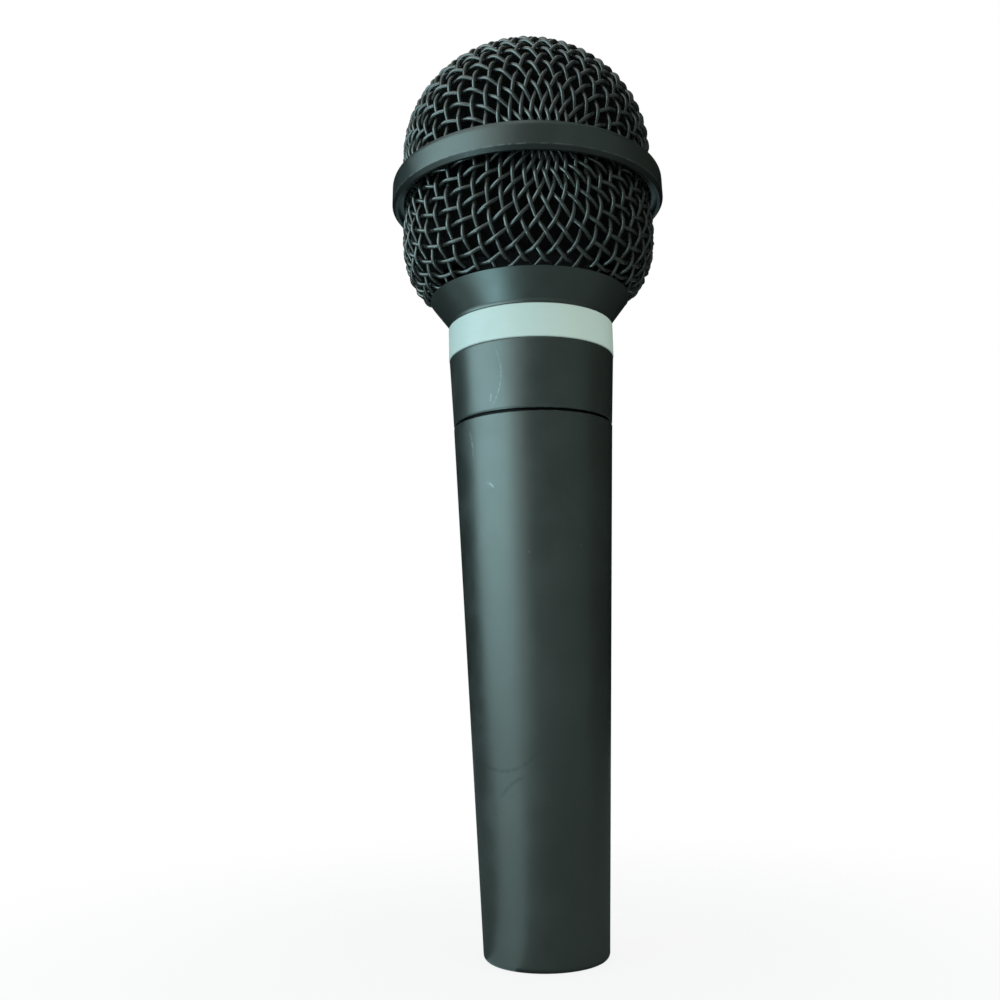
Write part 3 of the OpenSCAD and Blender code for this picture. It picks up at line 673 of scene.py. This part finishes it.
# %% [markdown]
# ## The pale ring
# The ring is aluminium with a thin silver-white lacquer. It is smooth, so nearly all that tells it
# from plastic is a trace of brushing round its girth and the way its edges catch the light.

# %% Silver-white lacquer
ring_finish = Finish("silver_white_lacquer", (0.45, 0.55, 0.53), 0.38, Specular_IOR_Level=0.5)
brushing = ring_finish.noise(3 * mm, 4, stretch=(1, 1, 0.03))
ring_finish.tint(ring_finish.spread(brushing, 0.3, 0.7, 0, 0.4), (0.41, 0.51, 0.49))
ring_finish.tint(ring_finish.spread(ring_finish.noise(6 * mm, 4), 0.55, 0.8, 0, 0.3), (0.38, 0.46, 0.44))
for height in (111.0, 117.4):
    rim = ring_finish.near_edge(16.1, height, 0.5)
    worn = ring_finish.calc("MULTIPLY", rim, ring_finish.noise(0.8 * mm, 3))
    ring_finish.tint(ring_finish.spread(worn, 0.35, 0.55, 0, 0.6), (0.42, 0.45, 0.45))
ring_finish.roughen(brushing, 0.5)
ring_finish.emboss(brushing, 0.004 * mm)
ring_finish.put_on("trim_ring")

# %% [markdown]
# ## Black wire
# The cloth is dipped in black lacquer after it is pressed. The coat is thin and glossy on the
# crowns of the wire, pools at the crossings, and wears to a greyer black where the cloth is touched.

# %% Lacquered wire
wire_finish = Finish("black_lacquered_wire", (0.124, 0.143, 0.135), 0.25, metallic=0.9)
wire_finish.tint(wire_finish.spread(wire_finish.noise(6 * mm, 3), 0.45, 0.75, 0, 0.5), (0.060, 0.068, 0.065))
wire_finish.roughen(wire_finish.spread(wire_finish.noise(1.5 * mm, 3), 0.4, 0.7), 0.40)
wire_finish.tint(wire_finish.spread(wire_finish.noise(0.5 * mm, 3), 0.68, 0.8, 0, 0.35), (0.20, 0.21, 0.20))
wire_finish.emboss(wire_finish.noise(0.16 * mm, 2), 0.006 * mm)
wire_finish.put_on(upper_cloth, lower_cloth)

# %% Foam, felt and cloth
def soft(name, colour, cell, depth, roughness=0.95):
    """Open-celled or fibrous stuff with cells of that size in mm."""
    finish = Finish(name, colour, roughness, Specular_IOR_Level=0.05)
    pores = finish.cells(cell * mm)
    finish.tint(finish.spread(pores, 0.25, 0.6, 0.7, 0), [c * 0.35 for c in colour])
    finish.tint(finish.spread(finish.noise(cell * 8 * mm, 3), 0.4, 0.7, 0, 0.4), [c * 1.5 for c in colour])
    finish.roughen(pores, 1.0)
    finish.emboss(pores, depth * mm)
    finish.emboss(finish.noise(cell * 0.4 * mm, 3), depth * 0.4 * mm)
    return finish


soft("open_cell_foam", (0.004, 0.0045, 0.0045), 0.8, 0.25).put_on(upper_foam, lower_foam)
soft("packing_foam", (0.07, 0.07, 0.075), 0.7, 0.15).put_on("transformer_foam")
soft("wool_felt", (0.12, 0.12, 0.105), 0.25, 0.08).put_on("port_felt")
soft("acoustic_cloth", (0.30, 0.26, 0.19), 0.15, 0.04).put_on("cap_cloth")

# %% [markdown]
# ## Moulded and rubber pieces
# Moulded nylon has a fine spark-eroded grain from its tool. Rubber is duller and blooms a little
# towards grey. The board is pressed paper and resin, and the tape on the coil is thin and glossy.

# %% Moulded pieces
def moulded(name, colour, grain, depth, roughness, mottle=0.25):
    finish = Finish(name, colour, roughness, Specular_IOR_Level=0.45)
    finish.tint(finish.spread(finish.noise(5 * mm, 3), 0.4, 0.75, 0, mottle),
                [min(1, c * 1.5 + 0.01) for c in colour])
    finish.roughen(finish.spread(finish.noise(3 * mm, 4), 0.4, 0.7), min(1, roughness + 0.14))
    finish.emboss(finish.noise(grain * mm, 3), depth * mm)
    return finish


moulded("glass_filled_nylon", (0.022, 0.023, 0.025), 0.12, 0.010, 0.52).put_on("connector_insert")
moulded("capsule_plastic", (0.055, 0.058, 0.062), 0.15, 0.012, 0.55).put_on("capsule_frame", "rear_chamber")
moulded("soft_rubber", (0.035, 0.035, 0.036), 0.30, 0.015, 0.78, 0.5).put_on(rubber_mount)
moulded("cream_nylon", (0.72, 0.68, 0.56), 0.20, 0.008, 0.45, 0.1).put_on("transformer_bobbin")
moulded("phenolic_board", (0.42, 0.26, 0.09), 0.18, 0.010, 0.50, 0.4).put_on("terminal_board")
moulded("polyester_film", (0.62, 0.47, 0.17), 0.60, 0.004, 0.16, 0.1).put_on("diaphragm")
moulded("polyester_tape", (0.52, 0.33, 0.03), 0.80, 0.012, 0.22, 0.2).put_on("transformer_winding")
for lead, colour in (("capsule_lead_red", (0.42, 0.012, 0.014)),
                     ("capsule_lead_black", (0.012, 0.012, 0.012)),
                     ("output_lead_white", (0.66, 0.66, 0.62)), ("output_lead_yellow", (0.62, 0.38, 0.02)),
                     ("ground_lead", (0.02, 0.14, 0.04))):
    moulded(f"insulation_{lead}", colour, 0.4, 0.006, 0.30, 0.1).put_on(lead)


# %% [markdown]
# ## Bare metals
# Turned metal shows rings round its axis, rolled sheet shows fine lines, and a stack of thin
# laminations shows its layers. Each is the same finish with its noise stretched another way.

# %% Metals
def metal(name, colour, roughness, lines=(1, 1, 0.05), depth=0.004, stain=0.3):
    finish = Finish(name, colour, roughness, metallic=1.0)
    marks = finish.noise(2.5 * mm, 4, stretch=lines)
    finish.tint(finish.spread(finish.noise(4 * mm, 4), 0.5, 0.8, 0, stain), [c * 0.55 for c in colour])
    finish.tint(finish.spread(marks, 0.35, 0.7, 0, 0.25), [c * 0.8 for c in colour])
    finish.roughen(finish.spread(marks, 0.3, 0.7), min(1, roughness + 0.18))
    finish.emboss(marks, depth * mm)
    return finish


metal("pressed_aluminium", (0.66, 0.67, 0.68), 0.30).put_on("capsule_cap")
metal("turned_brass", (0.62, 0.42, 0.17), 0.26).put_on("clamp_ring")
metal("wound_copper", (0.62, 0.24, 0.09), 0.32, (1, 1, 0.02), 0.02).put_on("voice_coil")
metal("zinc_plated_iron", (0.52, 0.54, 0.55), 0.34).put_on("pole_cap", "magnet_cup")
metal("sintered_magnet", (0.20, 0.21, 0.22), 0.50, (1, 1, 1), 0.01).put_on("magnet")
metal("tinned_terminal", (0.72, 0.73, 0.74), 0.28, (1, 1, 1)).put_on("capsule_terminals")
metal("stacked_laminations", (0.42, 0.44, 0.46), 0.42, (1, 0.05, 1), 0.03).put_on("transformer_core")
metal("silver_plated_contact", (0.78, 0.77, 0.74), 0.20, (1, 1, 0.2), 0.002, 0.45).put_on(
    "contact_pin_1", "contact_pin_2", "contact_pin_3")
metal("phosphor_bronze", (0.60, 0.46, 0.24), 0.30, (0.1, 1, 1)).put_on("ground_spring")
metal("dark_zinc_steel", (0.26, 0.27, 0.28), 0.38, (1, 0.1, 1)).put_on("lock_screw")

# %% [markdown]
# ## Studio
# The microphone stands on a pale floor that runs back without a horizon. The camera sees the floor
# and the world behind it as plain white, and reflections find the same white world, but the light
# that falls on the microphone stays at an ordinary level. Near the microphone part of the floor's
# white is real reflected light, so that the floor keeps a soft shadow. In reflections the floor is
# a little cooler, and a painted shade makes it dimmer towards the foot, which keeps a hard patch of
# light off the tail.

# %% Floor and world
scene = bpy.context.scene


def link(tree, kind, *values, output=0, **settings):
    """Adds a node, sets or links its first sockets, and returns one of its outputs."""
    made = tree.nodes.new(kind)
    for key, value in settings.items():
        setattr(made, key, value)
    for socket, value in zip(made.inputs, values):
        if isinstance(value, bpy.types.NodeSocket):
            tree.links.new(value, socket)
        elif value is not None:
            socket.default_value = value
    return made.outputs[output]


def stage_piece(name, points, faces, material):
    """A flat piece of the studio, which is no part of the microphone."""
    mesh = bpy.data.meshes.new(name)
    mesh.from_pydata(points, [], faces)
    mesh.materials.append(material)
    piece = bpy.data.objects.new(name, mesh)
    scene.collection.objects.link(piece)
    return piece


def seen_directly(tree):
    """1 for the rays that should find plain white: camera, glossy and transmission rays."""
    path = tree.nodes.new("ShaderNodeLightPath").outputs
    total = path["Is Camera Ray"]
    for name in ("Is Glossy Ray", "Is Transmission Ray"):
        total = link(tree, "ShaderNodeMath", total, path[name], operation="MAXIMUM")
    return total


paper = bpy.data.materials.new("pale_paper")
paper.use_nodes = True
tree = paper.node_tree
lit = tree.nodes["Principled BSDF"]
lit.inputs["Base Color"].default_value = (0.55, 0.56, 0.57, 1)
lit.inputs["Roughness"].default_value = 0.9
lit.inputs["Specular IOR Level"].default_value = 0.1
distance = link(tree, "ShaderNodeVectorMath", tree.nodes.new("ShaderNodeTexCoord").outputs["Object"],
                operation="LENGTH", output=1)
share = link(tree, "ShaderNodeMapRange", distance, 0.03, 0.16, 0.86, 1.0, interpolation_type="SMOOTHSTEP")
# Painted shade: in reflections the floor's white is dimmed near the foot.
foot_shade_in_reflections = link(tree, "ShaderNodeMapRange", distance, 0.0, 0.12, 0.5, 0.8, interpolation_type="SMOOTHSTEP")
glossy = tree.nodes.new("ShaderNodeLightPath").outputs["Is Glossy Ray"]
cooler = link(tree, "ShaderNodeMixRGB", glossy, (1, 1, 1, 1), (0.80, 0.97, 1, 1))
strength = link(tree, "ShaderNodeMapRange", glossy, 0, 1, 1, foot_shade_in_reflections)
white = link(tree, "ShaderNodeEmission", cooler, strength)
part = link(tree, "ShaderNodeMath", seen_directly(tree), share, operation="MULTIPLY")
tree.links.new(link(tree, "ShaderNodeMixShader", part, lit.outputs[0], white),
               tree.nodes["Material Output"].inputs["Surface"])
stage_piece("studio_floor", [(-6, -6, 0), (6, -6, 0), (6, 6, 0), (-6, 6, 0)], [(0, 1, 2, 3)], paper)

world = bpy.data.worlds.new("studio")
world.use_nodes = True
scene.world = world
tree = world.node_tree
room = link(tree, "ShaderNodeBackground", (0.92, 1.0, 0.92, 1), 0.88)
white = link(tree, "ShaderNodeBackground", (1, 1, 1, 1), 1.0)
tree.links.new(link(tree, "ShaderNodeMixShader", seen_directly(tree), room, white),
               tree.nodes["World Output"].inputs["Surface"])
world.cycles.sampling_method = "NONE"
paper.cycles.emission_sampling = "NONE"

# %% [markdown]
# A broad softbox stands to the left of the camera and gives the long soft highlight down the
# handle. A small gridded one lies low on the same side and lights the collar's flare and the
# underside of the grille, and a warm fill on the right opens the shadows without a highlight of
# its own. Dark cards stand at both sides, in front, above and on the floor, where only reflections
# find them: without them a dark turned piece on white has pale outlines, because lacquer mirrors
# whatever stands behind it when it is seen along its surface. The cards leave one open sector of
# floor, to the left of the camera, so that the highlight runs down to the foot.

# %% Lights
def softbox(name, place, target, width, height, power, colour, spread=180):
    """An area light that faces its target. Width is level and height is upright."""
    light = bpy.data.lights.new(name, "AREA")
    light.shape = "RECTANGLE"
    light.size, light.size_y = width, height
    light.energy, light.color, light.spread = power, colour, math.radians(spread)
    holder = bpy.data.objects.new(name, light)
    scene.collection.objects.link(holder)
    holder.location = place
    holder.rotation_euler = (Vector(target) - Vector(place)).to_track_quat("-Z", "Y").to_euler()
    holder.visible_camera = False
    print(f"{name}: {width * 100:.0f} x {height * 100:.0f} cm, {power} W")
    return holder


softbox("window_left", (-0.53, -0.265, 0.27), (0, 0, 0.10), 0.72, 0.46, 2.22, (0.58, 0.88, 1.0))
softbox("low_left", (-0.095, -0.08, 0.004), (0, 0, 0.118), 0.06, 0.06, 0.007, (0.58, 0.89, 1.0), 50)
fill = softbox("fill_right", (0.50, -0.45, 0.30), (0, 0, 0.10), 0.60, 0.50, 1.5, (1.0, 1.0, 0.88))
fill.visible_glossy = False

# %% Cards
def card(name, shade, corners):
    """A matt card of that shade that shows in reflections only."""
    matt = bpy.data.materials.new(name)
    matt.use_nodes = True
    matt.node_tree.nodes["Principled BSDF"].inputs["Base Color"].default_value = (shade, shade, shade, 1)
    matt.node_tree.nodes["Principled BSDF"].inputs["Specular IOR Level"].default_value = 0
    piece = stage_piece(name, corners, [tuple(range(len(corners)))], matt)
    piece.visible_camera = piece.visible_diffuse = piece.visible_shadow = False
    piece.visible_transmission = False


def upright_card(name, shade, *corners, height=0.6):
    """A folded card that stands on the floor along the corners."""
    for fold, (start, end) in enumerate(zip(corners, corners[1:])):
        card(f"{name}_{fold}", shade, [(*start, 0), (*end, 0), (*end, height), (*start, height)])


upright_card("card_right", 0.0, (0.22, -0.03), (0.22, 0.25), (0.05, 0.50))
upright_card("card_left", 0.0, (-0.26, 0.02), (-0.26, 0.25), (-0.05, 0.50))
upright_card("card_front", 0.13, (-0.12, -0.45), (0.30, -0.42), (0.24, -0.03))
card("card_top", 0.35, [(0.02, -0.4, 0.6), (0.6, -0.4, 0.6), (0.6, 0.5, 0.6), (0.02, 0.5, 0.6)])
card("card_low", 0.10, [(x, y, 0.0001) for x, y in (
    (0.0, 0.0), (-0.15, -0.26), (0.24, -0.3), (0.24, 0.3), (-0.25, 0.3), (-0.25, -0.045))])

# %% [markdown]
# ## Camera
# The view is close, about 20 cm in front of the handle and level with its lower half, and looks up
# a little. So the head, which is further from the lens, still looks wide, the rings on it curve
# upwards, and the tail curves down.

# %% Camera
camera_data = bpy.data.cameras.new("camera")
camera_data.lens = 38.2
camera_data.sensor_width = 36
camera_data.clip_start = 0.01
camera = bpy.data.objects.new("camera", camera_data)
scene.collection.objects.link(camera)
lean, roll, tilt = math.radians(2.098), math.radians(1.193), math.radians(9.07)
aim = Matrix.Rotation(lean, 3, "Z") @ Matrix.Rotation(roll, 3, "Y") @ Matrix.Rotation(tilt, 3, "X")
looking = Matrix((aim.col[0], aim.col[2], -aim.col[1])).transposed()
camera.matrix_world = Matrix.Translation((0, -0.2017, 0.05135)) @ looking.to_4x4()
scene.camera = camera
scene.view_settings.view_transform = "Standard"
print("camera at", [round(v, 4) for v in camera.location])
